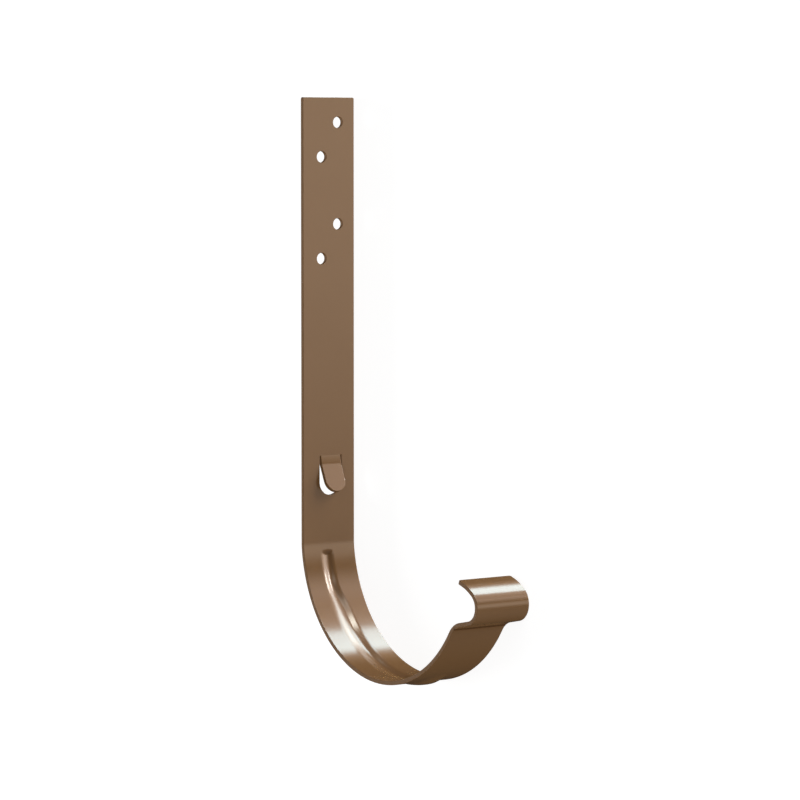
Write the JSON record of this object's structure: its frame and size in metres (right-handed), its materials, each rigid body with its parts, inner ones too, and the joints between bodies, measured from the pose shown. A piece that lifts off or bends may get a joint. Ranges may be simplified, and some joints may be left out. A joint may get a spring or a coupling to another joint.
{
  "type": "gutter bracket",
  "caption": "Long bracket for a half-round rain gutter: flat strap with screw holes and a pressed-out tongue, round ribbed seat and curled front hook, in glossy brown paint.",
  "frame": {"origin": "on the axis of the round gutter seat, level with the edge that the bracket lies on", "axes": "+X away from the wall, +Y up the strap, +Z across the strip and up from the floor that the bracket lies on"},
  "size_m": [0.1404, 0.2776, 0.03],
  "materials": {
    "brown_paint": "gloss"
  },
  "bodies": {
    "root": {"bracket": "brown_paint"}
  },
  "joints": []
}
